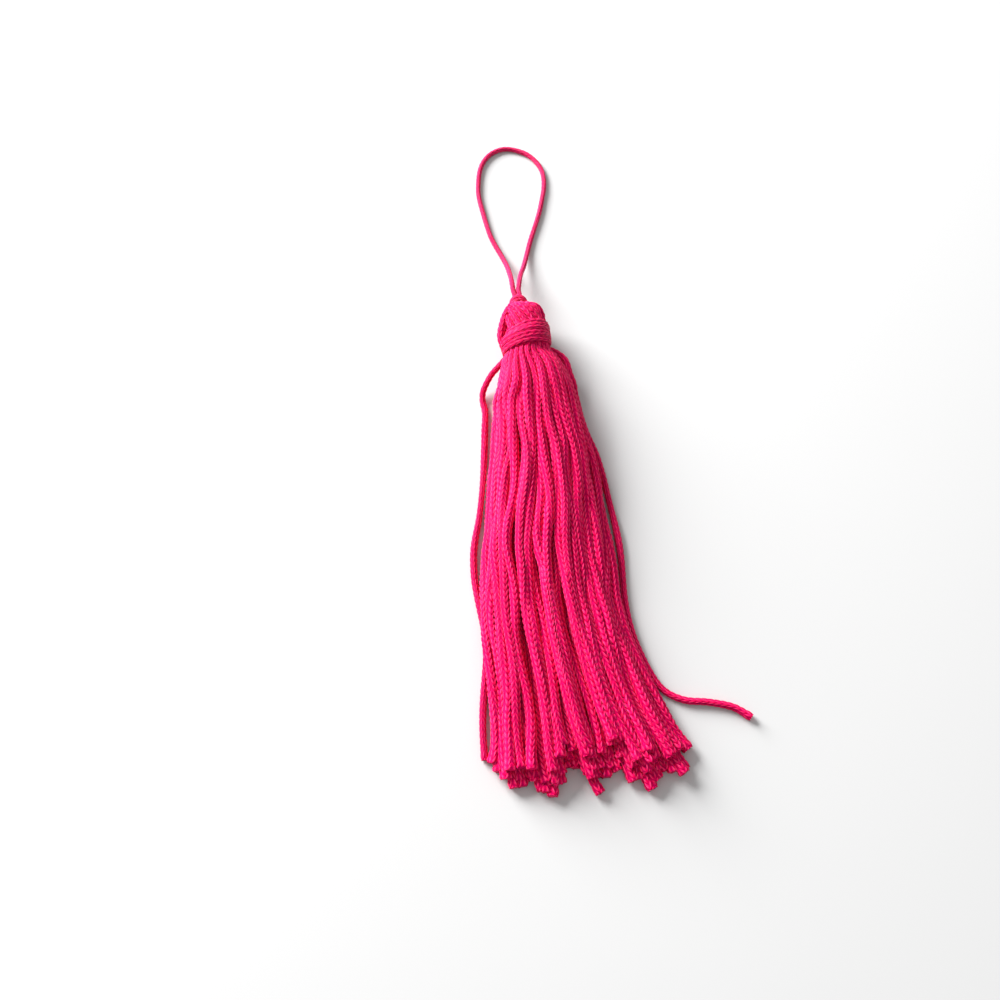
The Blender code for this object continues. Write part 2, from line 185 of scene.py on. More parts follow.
# The binding's and the loop's silk also paint shade in their grooves and a highlight on their crests.
binding_silk = silk('dyed_silk_binding', (0.42, 0.001, 0.065), (0.80, 0.002, 0.092),
                    (0.95, 0.050, 0.170))
loop_silk = silk('dyed_silk_loop', (0.62, 0.008, 0.090), (0.88, 0.030, 0.140),
                 (0.96, 0.065, 0.190))
print('made', [material.name for material in (strand_silk, binding_silk, loop_silk)])

# %% [markdown]
# ## One knitted cord
#
# The cord is a chainette: a tiny tube knitted on four needles. From outside each needle's column, or
# wale, is a row of Vs, and each leg of a V is a small leaf of parallel filaments. Real loops of yarn
# would need tens of thousands of tubes, so the tree works on the skin of the cord instead:
#
# 1. A route's points become a smooth curve, cut into four rings for every stitch.
# 2. A ring of four points for each wale is swept along it.
# 3. Rings are pulled into a zigzag, which turns rows into Vs.
# 4. Points sink between rows and between wales, so that each leg stands out as a leaf.
# 5. The cut end flares a little and closes.
#
# The route's points carry the cord's radius, its twist and its tint, so one tree serves thin and
# thick cords, and every cord differs.

# %% Build the knitting tree
ROWS = 4                    # rings for each stitch
COLUMNS = 4                 # points across each wale
SWEPT_RING = 1.0            # the profile's radius, which the route's own radius scales
FLARE_ROWS = 8.0            # rings from the cut end that flare
FLARE = [(0.0, 0.96), (0.10, 1.12), (0.30, 1.12), (0.60, 1.05), (1.0, 1.0)]
LEG_PROFILE = [(0.0, 0.0), (0.25, 0.90), (0.5, 1.0), (0.75, 0.90), (1.0, 0.0)]
WALE_PROFILE = [(0.0, 0.35), (0.25, 1.0), (0.5, 0.05), (0.75, 1.0), (1.0, 0.35)]


def add_float_curve(tree, factor, points):
    """A curve through points, read at a factor from 0 to 1."""
    node = add_node(tree, 'ShaderNodeFloatCurve', {'Value': factor})
    curve = node.mapping.curves[0]
    node.mapping.use_clip = False
    while len(curve.points) < len(points):
        curve.points.new(0.5, 0.5)
    for point, place in zip(curve.points, points):
        point.location = place
        point.handle_type = 'VECTOR'
    node.mapping.update()
    return node.outputs['Value']


def named(tree, name):
    """A named attribute of the route's points."""
    return add_node(tree, 'GeometryNodeInputNamedAttribute', {'Name': name}).outputs['Attribute']


def build_knitting():
    """The tree that knits a cord along each line of edges."""
    tree = bpy.data.node_groups.new('knitted_cord', 'GeometryNodeTree')
    sockets = tree.interface
    sockets.new_socket('Geometry', in_out='OUTPUT', socket_type='NodeSocketGeometry')
    sockets.new_socket('Geometry', in_out='INPUT', socket_type='NodeSocketGeometry')
    sockets.new_socket('Stitch length', in_out='INPUT', socket_type='NodeSocketFloat')
    sockets.new_socket('Wales', in_out='INPUT', socket_type='NodeSocketInt')
    sockets.new_socket('Relief', in_out='INPUT', socket_type='NodeSocketFloat')
    sockets.new_socket('Slope', in_out='INPUT', socket_type='NodeSocketFloat')
    sockets.new_socket('Silk', in_out='INPUT', socket_type='NodeSocketMaterial')
    given = tree.nodes.new('NodeGroupInput').outputs

    line = add_node(tree, 'GeometryNodeMeshToCurve', {'Mesh': given['Geometry']})
    line = add_node(tree, 'GeometryNodeCurveSplineType', {'Curve': line.outputs[0]},
                    spline_type='CATMULL_ROM')
    step = calc(tree, 'DIVIDE', given['Stitch length'], float(ROWS))
    line = add_node(tree, 'GeometryNodeResampleCurve', {'Curve': line.outputs[0], 'Length': step},
                    mode='LENGTH')
    line = add_node(tree, 'GeometryNodeSetCurveNormal', {'Curve': line.outputs[0]},
                    mode='MINIMUM_TWIST')
    line = add_node(tree, 'GeometryNodeSetCurveTilt', {'Curve': line.outputs[0],
                                                       'Tilt': named(tree, 'twist')})

    walked = add_node(tree, 'GeometryNodeSplineParameter')
    counted = add_node(tree, 'GeometryNodeSplineLength')
    rings_left = calc(tree, 'SUBTRACT', calc(tree, 'SUBTRACT', counted.outputs['Point Count'],
                                             walked.outputs['Index']), 1.0)
    from_end = calc(tree, 'MINIMUM', calc(tree, 'DIVIDE', rings_left, FLARE_ROWS), 1.0)
    kept = add_node(tree, 'GeometryNodeCaptureAttribute', {'Geometry': line.outputs[0]})
    position = add_node(tree, 'GeometryNodeInputPosition').outputs[0]
    tangent = add_node(tree, 'GeometryNodeInputTangent').outputs[0]
    for kind, name, source in [('FLOAT', 'row', walked.outputs['Index']),
                               ('VECTOR', 'middle', position), ('VECTOR', 'onward', tangent),
                               ('FLOAT', 'from end', from_end)]:
        kept.capture_items.new(kind, name)
        tree.links.new(source, kept.inputs[name])

    sides = calc(tree, 'MULTIPLY', given['Wales'], float(COLUMNS))
    ring = add_node(tree, 'GeometryNodeCurvePrimitiveCircle', {'Resolution': sides,
                                                               'Radius': SWEPT_RING})
    column = add_node(tree, 'GeometryNodeCaptureAttribute', {'Geometry': ring.outputs['Curve']})
    column.capture_items.new('FLOAT', 'column')
    tree.links.new(add_node(tree, 'GeometryNodeInputIndex').outputs[0], column.inputs['column'])

    flare = add_float_curve(tree, kept.outputs['from end'], FLARE)
    swept = add_node(tree, 'GeometryNodeCurveToMesh', {
        'Curve': kept.outputs['Geometry'], 'Profile Curve': column.outputs['Geometry'],
        'Scale': calc(tree, 'MULTIPLY', named(tree, 'girth'), flare), 'Fill Caps': True})

    across = calc(tree, 'FRACT', calc(tree, 'DIVIDE', column.outputs['column'], float(COLUMNS)))
    along = calc(tree, 'DIVIDE', kept.outputs['row'], float(ROWS))
    leaf = calc(tree, 'MULTIPLY', add_float_curve(tree, calc(tree, 'FRACT', along), LEG_PROFILE),
                add_float_curve(tree, across, WALE_PROFILE))
    zigzag = calc(tree, 'COSINE', calc(tree, 'MULTIPLY', across, 2 * math.pi))
    shift = calc(tree, 'MULTIPLY', calc(tree, 'MULTIPLY', zigzag, given['Slope']),
                 given['Stitch length'])
    fade = calc(tree, 'MINIMUM', calc(tree, 'MULTIPLY', kept.outputs['from end'], 4.0), 1.0)
    shift = calc(tree, 'MULTIPLY', shift, fade)
    raised = calc(tree, 'MULTIPLY', calc(tree, 'SUBTRACT', leaf, 0.6),
                  calc(tree, 'MULTIPLY', given['Relief'], named(tree, 'girth')))

    outward = add_node(tree, 'ShaderNodeVectorMath', {
        0: add_node(tree, 'GeometryNodeInputPosition').outputs[0], 1: kept.outputs['middle']},
        operation='SUBTRACT')
    outward = add_node(tree, 'ShaderNodeVectorMath', {0: outward.outputs[0]}, operation='NORMALIZE')
    outward = add_node(tree, 'ShaderNodeVectorMath', {0: outward.outputs[0], 'Scale': raised},
                       operation='SCALE')
    onward = add_node(tree, 'ShaderNodeVectorMath', {0: kept.outputs['onward'], 'Scale': shift},
                      operation='SCALE')
    move = add_node(tree, 'ShaderNodeVectorMath', {0: outward.outputs[0], 1: onward.outputs[0]},
                    operation='ADD')
    skin = add_node(tree, 'GeometryNodeSetPosition', {'Geometry': swept.outputs['Mesh'],
                                                      'Offset': move.outputs[0]})
    # The ridge also tells the silk where to paint shade in the grooves and a highlight on the crests.
    skin = add_node(tree, 'GeometryNodeStoreNamedAttribute', {
        'Geometry': skin.outputs[0], 'Name': 'ridge', 'Value': leaf})
    skin = add_node(tree, 'GeometryNodeStoreNamedAttribute', {
        'Geometry': skin.outputs[0], 'Name': 'filament', 'Value': along})
    skin = add_node(tree, 'GeometryNodeSetShadeSmooth', {'Geometry': skin.outputs[0]})
    skin = add_node(tree, 'GeometryNodeRealizeInstances', {'Geometry': skin.outputs[0]})
    skin = add_node(tree, 'GeometryNodeSetMaterial', {'Geometry': skin.outputs[0],
                                                      'Material': given['Silk']})
    result = tree.nodes.new('NodeGroupOutput')
    tree.links.new(skin.outputs[0], result.inputs['Geometry'])
    return tree


knitting = build_knitting()
print('knitting tree:', len(knitting.nodes), 'nodes')

# %% [markdown]
# ## From routes to a piece
#
# A route is a list of points in metres with a radius, a twist and a tint. The modifier's inputs are
# set by their identifiers before anything is evaluated, the result becomes a plain mesh, and the
# modifier goes with the old object.

# %% Knit routes into one plain mesh
def route_mesh(name, routes):
    """Lines of edges with the attributes that the knitting reads."""
    points = np.vstack([route['points'] for route in routes])
    edges, first = [], 0
    for route in routes:
        count = len(route['points'])
        edges += [(i, i + 1) for i in range(first, first + count - 1)]
        first += count
    mesh = bpy.data.meshes.new(name)
    mesh.from_pydata(points.tolist(), edges, [])
    for key in ('girth', 'twist', 'tint'):
        values = np.concatenate([np.broadcast_to(route[key], len(route['points'])) for route in routes])
        mesh.attributes.new(key, 'FLOAT', 'POINT').data.foreach_set('value', values.astype(np.float32))
    return mesh


def knit(name, routes, material, stitch, wales=4, relief=0.32, slope=0.62):
    """A finished piece of knitted cords, one for each route."""
    holder = bpy.data.objects.new(name + '_routes', route_mesh(name + '_routes', routes))
    bpy.context.scene.collection.objects.link(holder)
    modifier = holder.modifiers.new('knit', 'NODES')
    modifier.node_group = knitting
    sizes = {'Stitch length': stitch, 'Wales': wales, 'Relief': relief, 'Slope': slope,
             'Silk': material}
    for item in knitting.interface.items_tree:
        if item.in_out == 'INPUT' and item.name in sizes:
            modifier[item.identifier] = sizes[item.name]
    evaluated = holder.evaluated_get(bpy.context.evaluated_depsgraph_get())
    mesh = bpy.data.meshes.new_from_object(evaluated)
    mesh.name = name
    bpy.data.objects.remove(holder)
    piece = bpy.data.objects.new(name, mesh)
    bpy.context.scene.collection.objects.link(piece)
    mesh.calc_loop_triangles()
    print(name, len(routes), 'cords', len(mesh.loop_triangles), 'triangles')
    return piece


def table(names, rows):
    """A short table of sizes as one array for each named column."""
    return {name: np.array(column, float) for name, column in zip(names.split(), zip(*rows))}


def smooth_route(route, spacing):
    """Points about one spacing apart on a smooth curve through a route's own points."""
    points = np.column_stack([route['sideways'], route['along'], route['up']])
    padded = np.vstack([2 * points[0] - points[1], points, 2 * points[-1] - points[-2]])
    fine = []
    for a, b, c, d in zip(padded, padded[1:], padded[2:], padded[3:]):
        for t in np.linspace(0, 1, 12, endpoint=False):
            fine.append(0.5 * (2 * b + (c - a) * t + (2 * a - 5 * b + 4 * c - d) * t ** 2
                               + (3 * b - a - 3 * c + d) * t ** 3))
    fine = np.array(fine + [points[-1]])
    walked = np.concatenate([[0], np.cumsum(np.linalg.norm(np.diff(fine, axis=0), axis=1))])
    marks = np.linspace(0, walked[-1], max(2, round(walked[-1] / spacing) + 1))
    return np.column_stack([np.interp(marks, walked, fine[:, i]) for i in range(3)])


# %% [markdown]
# ## The hanging loop
#
# The loop is a finer cord that comes out of the wrap on top of the head, drops on to the table,
# opens into a long oval and goes back into the wrap. It is limp, so nothing but the table shapes it,
# and the points are chosen from the photograph.

# %% Knit the hanging loop
HEAD_FOOT = 0.45            # where the tables' zero, the foot of the head, lies along Y
LOOP_DIAMETER = 0.9
LOOP_STITCH = 0.95
LOOP = table('sideways along up', [
    (-1.65, 6.1, 4.5),
    (-2.05, 7.8, 4.42),
    (-2.2, 9.0, 4.3),
    (-2.4, 10.8, 3.75),
    (-2.7, 12.8, 2.7),
    (-3.25, 15.5, 1.5),
    (-4.27, 18.4, 0.7),
    (-5.54, 21.2, 0.45),
    (-6.47, 23.5, 0.45),
    (-7.27, 26.4, 0.45),
    (-8.12, 29.9, 0.45),
    (-8.74, 32.9, 0.45),
    (-8.88, 35.6, 0.45),
    (-8.63, 39.2, 0.45),
    (-7.85, 41.8, 0.45),
    (-6.4, 43.8, 0.45),
    (-4.51, 44.9, 0.45),
    (-2.67, 45.1, 0.45),
    (-0.83, 44.6, 0.45),
    (0.79, 43.8, 0.45),
    (2.4, 42.3, 0.45),
    (3.71, 40.1, 0.45),
    (4.25, 37.7, 0.45),
    (4.25, 35.1, 0.45),
    (3.87, 32.4, 0.45),
    (3.28, 29.1, 0.45),
    (2.39, 25.7, 0.45),
    (1.46, 22.3, 0.45),
    (0.78, 19.2, 0.6),
    (0.11, 15.6, 1.4),
    (-0.5, 12.8, 2.7),
    (-0.78, 10.8, 3.75),
    (-0.98, 9.0, 4.3),
    (-1.06, 7.8, 4.42),
    (-0.85, 6.1, 4.5),
])

loop_points = MM * (smooth_route(LOOP, LOOP_DIAMETER) + [0, HEAD_FOOT, 0])
loop_twist = np.linspace(0, 9, len(loop_points))
loop_cord = knit('hanging_loop_cord', [{
    'points': loop_points, 'girth': MM * LOOP_DIAMETER / 2, 'twist': loop_twist, 'tint': 0.6}],
    loop_silk, MM * LOOP_STITCH, relief=0.28)
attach(loop_cord, 'root')
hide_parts('hanging_loop')

# %% [markdown]
# ## How the strands lie
#
# Seventy-odd strands leave the neck as a round bundle and spread into a flat fan. Drawing each by
# hand would be slow and would look combed, so they are laid the way they fall: station by station,
# a millimetre at a time, they spread with the skirt's edges, sink, wander a little, and push each
# other apart until they only touch. The tables give the skirt's edges and heights, and the two
# strands that strayed: one slipped out of the binding on the left, one bows away on the right.

# %% The skirt's tables
AXIS_HEIGHT = 4.3
NECK_MIDDLE = 0.4
SQUASH = 0.95
SLANT_ACROSS, SLANT_UP = 0.30, -0.22
STRAND_SPACING = 1.2
BAR_HALF = 0.37             # half the solids' strand, which rests on the table
LAYER_SHORTENING = 1.3
SINKING = 0.12
STEEPEST = 0.9
WANDER = 0.05
WANDER_SIZES, WANDER_LENGTHS = (0.5, 1.0), (9, 22)
SETTLING = 90
PUSH = 0.42
EDGE_ROOM = 0.5
FOOT_STATION = -6
SEED = 7

SLANT = table('along share', [(-17.0, 0.0), (-9.0, 1.0), (-0.4, 1.0), (4.2, -0.3)])
FREEDOM = table('along share', [(-21.0, 1.0), (-9.0, 0.0)])
LOOSENESS = table('up share', [(1.0, 0.0), (4.0, 1.0)])
RINGS = table('radius count', [(3.55, 25), (2.75, 20), (1.95, 14), (1.15, 9), (0.45, 3)])
SKIRT = table('along left right crown rim spacing', [
    (-7.2, -3.5, 4.3, 8.4, 4.3, 0.80),
    (-8.4, -3.9, 5.2, 8.8, 4.4, 0.90),
    (-9.8, -4.3, 6.4, 8.6, 4.0, 1.00),
    (-11.3, -4.7, 7.3, 8.3, 3.5, 1.08),
    (-12.9, -4.9, 8.0, 8.3, 3.3, 1.14),
    (-14.7, -5.1, 8.4, 7.9, 3.0, 1.20),
    (-20.0, -5.4, 9.9, 7.2, 2.2, 1.20),
    (-25.7, -5.6, 12.0, 6.5, 1.5, 1.20),
    (-33.5, -6.4, 13.4, 5.6, 1.0, 1.20),
    (-44.0, -7.7, 14.3, 5.0, 1.0, 1.20),
    (-52.0, -7.2, 15.2, 4.7, 1.0, 1.20),
    (-59.0, -6.7, 17.0, 4.4, 1.0, 1.20),
    (-65.0, -6.3, 19.3, 4.2, 1.0, 1.20),
    (-72.0, -6.1, 22.6, 4.0, 1.0, 1.20),
    (-85.0, -5.9, 30.4, 3.8, 1.0, 1.20),
])
ENDS = table('sideways along', [
    (-9.0, -78.8),
    (-6.6, -79.4),
    (-4.3, -80.5),
    (-3.9, -83.0),
    (-1.2, -82.7),
    (-0.4, -80.2),
    (0.2, -83.1),
    (3.4, -83.8),
    (4.6, -84.9),
    (5.4, -79.8),
    (8.0, -79.9),
    (8.8, -84.6),
    (9.9, -81.4),
    (12.0, -81.3),
    (14.4, -79.1),
    (15.3, -79.8),
    (15.9, -82.4),
    (18.0, -83.4),
    (18.8, -81.4),
    (21.9, -79.8),
    (23.0, -82.0),
    (24.0, -79.8),
    (25.2, -77.0),
])
LEFT_STRAY = table('sideways along up', [
    (-1.5, 4.1, 4.9),
    (-2.5, 3.2, 5.5),
    (-3.35, 1.9, 5.8),
    (-4.0, 0.4, 5.5),
    (-4.3, -1.4, 5.1),
    (-3.8, -3.5, 4.6),
    (-3.35, -4.8, 4.1),
    (-3.6, -5.9, 3.6),
    (-6.2, -8.1, 2.3),
    (-7.45, -10.7, 1.0),
    (-7.6, -13.1, 0.37),
    (-7.3, -15.8, 0.37),
    (-7.4, -20.0, 0.37),
    (-7.4, -28.0, 0.37),
    (-8.1, -35.5, 0.37),
    (-8.8, -42.0, 0.37),
    (-8.5, -47.5, 0.37),
    (-7.9, -53.0, 0.37),
    (-7.3, -60.0, 0.37),
    (-7.0, -68.0, 0.37),
    (-6.8, -78.6, 0.37),
])
RIGHT_STRAY = table('sideways along up', [
    (2.6, -5.0, 4.3),
    (3.5, -5.9, 4.3),
    (5.6, -7.4, 4.1),
    (7.5, -9.6, 3.6),
    (8.1, -11.3, 3.0),
    (8.8, -12.9, 2.4),
    (9.1, -14.7, 1.6),
    (10.5, -20.0, 0.6),
    (12.7, -25.2, 0.37),
    (14.2, -30.5, 0.37),
    (15.2, -38.0, 0.37),
    (16.0, -45.0, 0.37),
    (16.5, -51.5, 0.37),
    (17.1, -56.3, 0.37),
    (18.1, -60.3, 0.37),
    (20.1, -64.8, 0.37),
    (22.3, -67.6, 0.37),
    (25.4, -69.0, 0.37),
    (29.0, -69.3, 0.37),
    (33.0, -70.1, 0.37),
    (36.0, -71.8, 0.37),
])


# %% Lay the strands, station by station
def slanted(sideways, along, up):
    """Points in metres, dragged along the tassel as the slanted binding drags head and neck."""
    share = np.interp(along, SLANT['along'], SLANT['share'])
    drag = share * (SLANT_ACROSS * sideways + SLANT_UP * (up - AXIS_HEIGHT))
    return MM * np.column_stack([sideways, HEAD_FOOT + along + drag, up])


def section(along):
    """The skirt's edges, crown, rim and strand spacing at a station."""
    return [np.interp(-along, -SKIRT['along'], SKIRT[name])
            for name in ('left', 'right', 'crown', 'rim', 'spacing')]


def stray_place(route, along):
    """Where a stray strand passes a station, as an array with no row past the strand's end."""
    order = np.argsort(route['along'])
    if along < route['along'][order[0]]:
        return np.empty((0, 2))
    return np.array([[np.interp(along, route['along'][order], route[name][order])
                      for name in ('sideways', 'up')]])


def neck_places():
    """The strands' places side by side in the neck, sideways and up."""
    places = []
    for ring, (radius, count) in enumerate(zip(RINGS['radius'], RINGS['count'])):
        for i in range(int(count)):
            angle = 2 * math.pi * (i + 0.5 * (ring % 2)) / count
            places.append([NECK_MIDDLE + SQUASH * radius * math.sin(angle),
                           AXIS_HEIGHT + radius * math.cos(angle)])
    return np.array(places)


def lay_strands():
    """Each strand's places, sideways and up, at every station, and the stations along Y."""
    chance = random.Random(SEED)
    places = neck_places()
    size = np.array([chance.uniform(*WANDER_SIZES) for _ in places])
    length = np.array([chance.uniform(*WANDER_LENGTHS) for _ in places])
    phase = np.array([chance.uniform(0, 2 * math.pi) for _ in places])
    drift = np.array([chance.uniform(-1, 1) for _ in places])
    stations = np.arange(SKIRT['along'][0], SKIRT['along'][-1] - 0.01, -1.0)
    kept = [places.copy()]
    old_left, old_right = section(stations[0])[:2]
    for along in stations[1:]:
        left, right, crown, rim, spacing = section(along)
        middle, half = (left + right) / 2, (right - left) / 2
        before = places.copy()
        share = (places[:, 0] - old_left) / (old_right - old_left)
        wander = WANDER * np.interp(along, FREEDOM['along'], FREEDOM['share'])
        high = np.interp(places[:, 1], LOOSENESS['up'], LOOSENESS['share'])
        wave = size * np.sin(2 * math.pi * along / length + phase)
        places[:, 0] = left + share * (right - left) + wander * (wave + drift * high)
        places[:, 1] -= SINKING
        strays = np.vstack([stray_place(LEFT_STRAY, along), stray_place(RIGHT_STRAY, along)])
        for _ in range(SETTLING):
            gap = places[:, None, :] - np.vstack([places, strays])[None, :, :]
            apart = np.linalg.norm(gap, axis=2)
            push = np.where(apart > 0, np.clip(spacing - apart, 0, None) / (apart + 1e-9), 0)
            places += PUSH * (gap * push[:, :, None]).sum(axis=1)
            places[:, 0] = np.clip(places[:, 0], left + EDGE_ROOM, right - EDGE_ROOM)
            reach = np.clip(np.abs(places[:, 0] - middle) / half, 0, 1)
            roof = rim + (crown - rim) * (1 - reach ** 3)
            places[:, 1] = np.clip(places[:, 1], BAR_HALF, roof)
        places = before + np.clip(places - before, -STEEPEST, STEEPEST)
        kept.append(places.copy())
        old_left, old_right = left, right
    laid = np.array(kept).transpose(1, 0, 2)
    for _ in range(2):
        laid[:, 1:-1] = (laid[:, :-2] + 2 * laid[:, 1:-1] + laid[:, 2:]) / 4
    return laid, stations


laid, stations = lay_strands()
print(len(laid), 'strands laid over', len(stations), 'stations')

# %% [markdown]
# ## The skirt
#
# Each laid strand becomes a route. It starts inside the binding, squeezed thin, reaches its full
# thickness where the skirt has spread, and ends in a small curl of its own, because a cut cord never
# stops straight. The solids' strands are thin bars that rest on the table; the knitted ones are
# fuller, so they are lifted by the difference. Strands that lie on the table stay level on it, and
# a few of those on top slide over their neighbours on the way down.

# %% Routes for the skirt's strands
STRAND_STITCH = 1.04
STRAND_RADIUS = 0.60
STRAY = table('along radius', [(-9.0, 0.57), (-5.5, 0.58), (-3.5, 0.72)])
FULLNESS = 1.42             # neighbours press into each other a little
LIFT = table('along height', [(-13.0, 0.25), (-7.2, 0.0)])
ROOTS = table('along share', [(-4.4, 0.84), (-5.6, 0.98)])
SPREAD = table('along share', [(-12.0, 1.0), (-9.5, 1.08), (-6.8, 1.22), (-5.8, 1.08)])
CROSSING_SHARE = 0.6        # of the strands on top, which
CROSSING_REACH = 2.4        # slide this far over their neighbours
CROSSING_RISE = 0.5
CROSSING_MARKS = (-12.0, -70.0)
ON_TOP = 1.6
CURL_LENGTH = 4.5
CURL_REACH = 0.6            # sideways, and as much down or a little less up
RIPPLE_SIDEWAYS, RIPPLE_UP = 0.45, 0.22
RIPPLE_LENGTHS = (16, 40)
RIPPLE_MARKS = (9, 16)      # how far down the skirt the ripples set in
THICKNESSES = (0.93, 1.05)  # from one cord to the next
UNEVENNESS = 0.05           # how much a cord's thickness comes and goes
RESTING = 1.04              # a resting strand's middle lies this share of its radius up
TURNING, SWAYING = 0.05, 0.6
SWAY_LENGTHS = (5, 11)

look = random.Random(SEED + 1)


def strand_radius(along):
    """Half the strand's thickness: squeezed in the neck, full once the skirt has spread."""
    return FULLNESS * STRAND_RADIUS / STRAND_SPACING * np.interp(-along, -SKIRT['along'],
                                                                 SKIRT['spacing'])


def ripple(marks, reach):
    """A slow, uneven wave along a strand."""
    wave = np.zeros(len(marks))
    for _ in range(2):
        wave += np.sin(2 * math.pi * (marks / look.uniform(*RIPPLE_LENGTHS) + look.random()))
    return reach * wave / 2


def finish_route(sideways, along, up, radius):
    """A route with its ripple, curled end, twist and tint."""
    radius = radius * (look.uniform(*THICKNESSES)
                       + UNEVENNESS * np.sin(along / look.uniform(1.5, 4) + 6 * look.random()))
    loose = np.interp(-along, RIPPLE_MARKS, [0, 1])
    sideways = sideways + loose * ripple(along, RIPPLE_SIDEWAYS)
    up = up + np.interp(along, LIFT['along'], LIFT['height']) + loose * ripple(along, RIPPLE_UP)
    curl = np.clip((along[-1] + CURL_LENGTH - along) / CURL_LENGTH, 0, 1) ** 2
    sideways = sideways + CURL_REACH * look.uniform(-1, 1) * curl
    up = np.maximum(up + CURL_REACH * look.uniform(-1, 0.6) * curl, RESTING * radius)
    twist = (look.uniform(0, 2 * math.pi) + look.uniform(-TURNING, TURNING) * along
             + SWAYING * np.sin(along / look.uniform(*SWAY_LENGTHS)))
    return {'points': slanted(sideways, along, up), 'girth': MM * radius, 'twist': twist,
            'tint': look.random()}


def crossing(strand, along):
    """How far a loose strand on top slides sideways over its neighbours, and how high it rides."""
    reach = look.uniform(-CROSSING_REACH, CROSSING_REACH)
    left, right = section(CROSSING_MARKS[-1])[:2]
    share = (strand[FOOT_STATION][0] - left) / (right - left)
    if look.random() > CROSSING_SHARE or strand[:, 1].min() < ON_TOP or not 0.2 < share < 0.8:
        return 0 * along, 0 * along
    t = np.interp(-along, -np.array(CROSSING_MARKS), np.linspace(0, 1, len(CROSSING_MARKS)))
    return reach * t * t * (3 - 2 * t), CROSSING_RISE * np.sin(math.pi * t)


def skirt_route(strand):
    """The route of one laid strand, from inside the binding to its cut end."""
    place = strand[FOOT_STATION]
    foot = (np.interp(place[0], ENDS['sideways'], ENDS['along'])
            + LAYER_SHORTENING * (place[1] - BAR_HALF))
    stops = np.append(stations[stations > foot + 0.5], foot)
    sideways = np.interp(-stops, -stations, strand[:, 0])
    up = np.interp(-stops, -stations, strand[:, 1])
    root_x = NECK_MIDDLE + ROOTS['share'] * (strand[0, 0] - NECK_MIDDLE)
    root_z = AXIS_HEIGHT + ROOTS['share'] * (strand[0, 1] - AXIS_HEIGHT)
    along = np.append(ROOTS['along'] + [look.uniform(-1, 0), 0], stops)
    spread = np.interp(along, SPREAD['along'], SPREAD['share'])
    sideways = NECK_MIDDLE + spread * (np.append(root_x, sideways) - NECK_MIDDLE)
    slide, rise = crossing(strand, along)
    return finish_route(sideways + slide, along, np.append(root_z, up) + rise, strand_radius(along))


def stray_route(route):
    """The route of a stray strand, which the binding hardly squeezes."""
    points = smooth_route(route, 1.0)
    return finish_route(*points.T, np.interp(points[:, 1], STRAY['along'], STRAY['radius']))


# %% Knit the skirt
STRANDS_A_PIECE = 15

routes = [stray_route(LEFT_STRAY), stray_route(RIGHT_STRAY)]
for strand in sorted(laid, key=lambda strand: strand[FOOT_STATION][0]):
    routes.append(skirt_route(strand))
table_ends = sorted((route['points'][-1] / MM).round(1).tolist() for route in routes
                    if route['points'][-1][2] < MM)
print('strands that end on the table, in mm:', [end[:2] for end in table_ends])
skirt_pieces = []
for first in range(0, len(routes), STRANDS_A_PIECE):
    skirt_pieces.append(knit(f'skirt_strands_{first // STRANDS_A_PIECE + 1}',
                             routes[first:first + STRANDS_A_PIECE], strand_silk,
                             MM * STRAND_STITCH))

# %% [markdown]
# ## The head
# The same strands, folded over the loop, make the head. From outside it is a small dome of plump
# cords that lean to the right, because the binding was wound at a slant and dragged them. Each cord
# follows the dome's profile while its angle changes from the crown's to the neck's. A few at the
# front and right stand prouder, in two lobes. Inside lies a plain core, dark with painted shade, so
# that nothing shows through between the cords.

# %% Knit the head
DOME = table('along radius sideways', [
    (3.10, 0.35, -1.10),
    (3.20, 1.10, -0.85),
    (3.20, 1.85, -0.40),
    (2.90, 2.50, -0.10),
    (2.20, 2.95, -0.10),
    (1.00, 3.25, -0.10),
    (-0.30, 3.35, 0.05),
    (-1.80, 3.20, 0.20),
])
HEAD_STRANDS = table('crown foot rise', [
    (-124, -74, 0.80),
    (-110, -48, 0.50),
    (-96, -20, 0.30),
    (-80, 4, 0.38),
    (-62, 26, 0.32),
    (-44, 46, 0.05),
    (-8, 62, 0.00),
    (28, 76, 0.42),
    (60, 90, 0.35),
    (92, 107, 0.05),
    (118, 126, 0.00),
    (141, 147, 0.00),
    (163, 168, 0.00),
    (185, 190, 0.00),
    (205, 213, 0.00),
    (221, 238, 0.00),
    (236, 263, 0.00),
])
HEAD_RADIUS = 0.68
HEAD_STITCH = 1.05
HEAD_STEPS = 16


def head_route(crown, foot, rise):
    """A strand over the dome, from the crown to inside the binding."""
    t = np.linspace(0, 1, HEAD_STEPS)
    marks = np.linspace(0, 1, len(DOME['along']))
    along, radius, sideways = (np.interp(t, marks, DOME[name])
                               for name in ('along', 'radius', 'sideways'))
    angle = np.radians(crown + (foot - crown) * t * t * (3 - 2 * t))
    radius = radius + rise * np.sin(math.pi * np.clip(1.15 * t, 0, 1))
    up = np.maximum(AXIS_HEIGHT + radius * np.cos(angle), HEAD_RADIUS)
    thickness = HEAD_RADIUS * np.interp(t, [0, 0.35, 1], [0.62, 1.0, 1.0])
    return {'points': slanted(sideways + SQUASH * radius * np.sin(angle), along, up),
            'girth': MM * thickness, 'twist': look.uniform(0, 2 * math.pi), 'tint': look.random()}


head = knit('head_strands', [head_route(*row) for row in zip(*HEAD_STRANDS.values())],
            strand_silk, MM * HEAD_STITCH)

# %% [markdown]
# ## The binding and the wrap
#
# The same cord is wound six times round the neck, pulled tight enough to stretch its stitches. A
# helix with a little unevenness does it, flattened where the tassel rests on the table. On top of
# the head a small double turn holds the loop: seen from the front it is an arched band.

